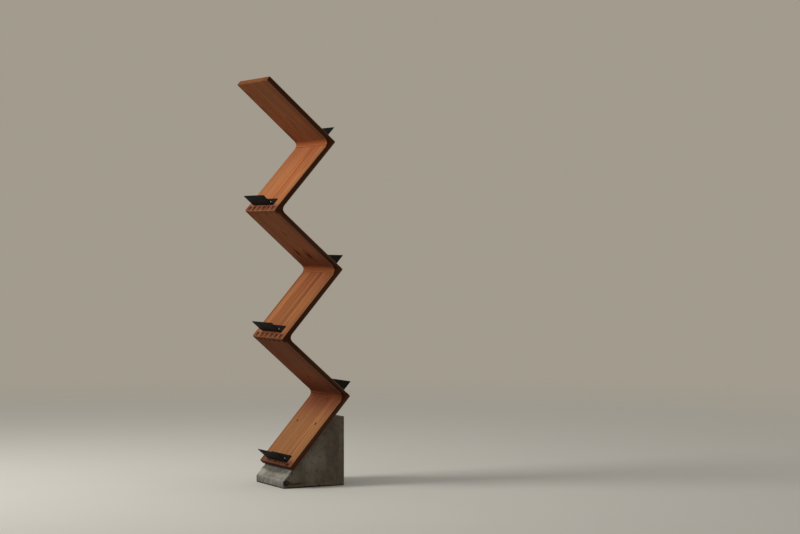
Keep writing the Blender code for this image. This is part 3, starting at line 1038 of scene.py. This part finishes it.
class SHELF_OT_stage(bpy.types.Operator):
    """Adds the floor, the soft light and the camera"""

    bl_idname = "shelf.add_stage"
    bl_label = "Stage"

    camera_place = Vector((8.347, -3.881, 1.122))
    camera_turn = (radians(89.08), 0.0, radians(62.26))
    key_place = Vector((-0.70, -2.75, 3.25))
    key_target = Vector((0.0, 0.0, 0.90))
    front_side = Vector((-0.45, -0.85, 0.22)).normalized()
    back_side = Vector((-0.40, 0.72, 0.56)).normalized()
    right_side = Vector((0.92, -0.10, 0.10)).normalized()
    sensor_width = 36.0
    floor_fade = (0.10, 0.45)   # in floor radii: whole up to the first, gone at the second

    def execute(self, context):
        look = context.scene.shelf_stage
        context.scene.view_settings.view_transform = "Standard"
        self.add_floor(look)
        self.add_light(look)
        self.add_world(context, look)
        lens = bpy.data.cameras.new("camera")
        lens.sensor_width = self.sensor_width
        lens.lens = look.lens
        camera = add_object("camera", lens)
        camera.location = self.camera_place
        camera.rotation_euler = self.camera_turn
        context.scene.camera = camera
        return {"FINISHED"}

    def add_floor(self, look):
        """A pale disc that fades into the backdrop towards its rim."""
        shape = bmesh.new()
        bmesh.ops.create_circle(shape, cap_ends=True, segments=96, radius=look.floor_radius)
        mesh = new_mesh("floor", shape)
        material, graph = new_material("floor")
        place = graph.place()
        away = graph.node("ShaderNodeVectorMath", {"operation": "LENGTH"}, {0: place}, "Value")
        fade = graph.step(away, *(look.floor_radius * part for part in self.floor_fade))
        mottle = graph.cloud(place, 3.0, 3.0, 1.0)
        colour = graph.mix(seen_directly(graph), opaque(look.floor_bounce), opaque(look.floor))
        colour = graph.scale(colour, 0.985 + mottle * 0.03)
        matt = graph.node("ShaderNodeBsdfDiffuse", None, {"Color": colour})
        clear = graph.node("ShaderNodeBsdfTransparent")
        blend = graph.node("ShaderNodeMixShader", None, {0: fade, 1: matt, 2: clear})
        graph.node("ShaderNodeOutputMaterial", None, {"Surface": blend})
        mesh.materials.append(material)
        made = add_object("floor", mesh)

    def add_light(self, look):
        """One large soft lamp at the front left."""
        data = bpy.data.lights.new("key", "AREA")
        data.shape = "SQUARE"
        data.size = look.key_size
        data.energy = look.key_power
        lamp = add_object("key", data)
        lamp.location = self.key_place
        lamp.rotation_euler = (self.key_place - self.key_target).to_track_quat("Z", "Y").to_euler()
        lamp.visible_camera = False

    def add_world(self, context, look):
        """Soft light, strongest from the left, and a pale backdrop."""
        world = bpy.data.worlds.new("studio")
        world.use_nodes = True
        context.scene.world = world
        graph = Graph(world.node_tree)
        way = graph.node("ShaderNodeTexCoord", None, None, "Generated")
        glow = look.shade
        lobes = (
            (self.front_side, look.front_glow),
            (self.back_side, look.back_glow),
            (self.right_side, look.right_glow),
        )
        for side, strength in lobes:
            facing = graph.node(
                "ShaderNodeVectorMath", {"operation": "DOT_PRODUCT"}, {0: way, 1: side}, "Value")
            glow = glow + graph.step(facing, 0.0, 1.0) * strength
        light = graph.node("ShaderNodeBackground", None, {"Color": (1.0, 1.0, 1.0, 1.0), "Strength": glow})
        pale = graph.node("ShaderNodeBackground", None, {"Color": opaque(look.backdrop), "Strength": 1.0})
        both = graph.node("ShaderNodeMixShader", None, {0: seen_directly(graph), 1: light, 2: pale})
        graph.node("ShaderNodeOutputWorld", None, {"Surface": both})


class SHELF_PT_sidebar(bpy.types.Panel):
    """Lists the shelf's pieces and settings"""

    bl_label = "Magazine Shelf"
    bl_idname = "SHELF_PT_sidebar"
    bl_space_type = "VIEW_3D"
    bl_region_type = "UI"
    bl_category = "Shelf"

    def draw(self, context):
        for operator in OPERATORS:
            self.layout.operator(operator.bl_idname)
        for name, group in SETTINGS.items():
            box = self.layout.box()
            for setting in group.__annotations__:
                box.prop(getattr(context.scene, name), setting)


SETTINGS = {
    "shelf_wood": WoodSettings,
    "shelf_steel": SteelSettings,
    "shelf_concrete": ConcreteSettings,
    "shelf_stage": StageSettings,
}
OPERATORS = (
    SHELF_OT_boards,
    SHELF_OT_coves,
    SHELF_OT_ledges,
    SHELF_OT_fasteners,
    SHELF_OT_base,
    SHELF_OT_stage,
)


def register():
    """Makes the settings, operators and panel known to Blender."""
    for name, group in SETTINGS.items():
        bpy.utils.register_class(group)
        setattr(bpy.types.Scene, name, PointerProperty(type=group))
    for operator in OPERATORS:
        bpy.utils.register_class(operator)
    bpy.utils.register_class(SHELF_PT_sidebar)


def unregister():
    """Takes back what register did."""
    bpy.utils.unregister_class(SHELF_PT_sidebar)
    for operator in reversed(OPERATORS):
        bpy.utils.unregister_class(operator)
    for name, group in reversed(SETTINGS.items()):
        delattr(bpy.types.Scene, name)
        bpy.utils.unregister_class(group)


def main():
    """Makes everything in order."""
    register()
    bpy.ops.shelf.add_boards()
    bpy.ops.shelf.add_coves()
    bpy.ops.shelf.add_ledges()
    bpy.ops.shelf.add_fasteners()
    bpy.ops.shelf.add_base()
    bpy.ops.shelf.add_stage()


if __name__ == "__main__":
    main()
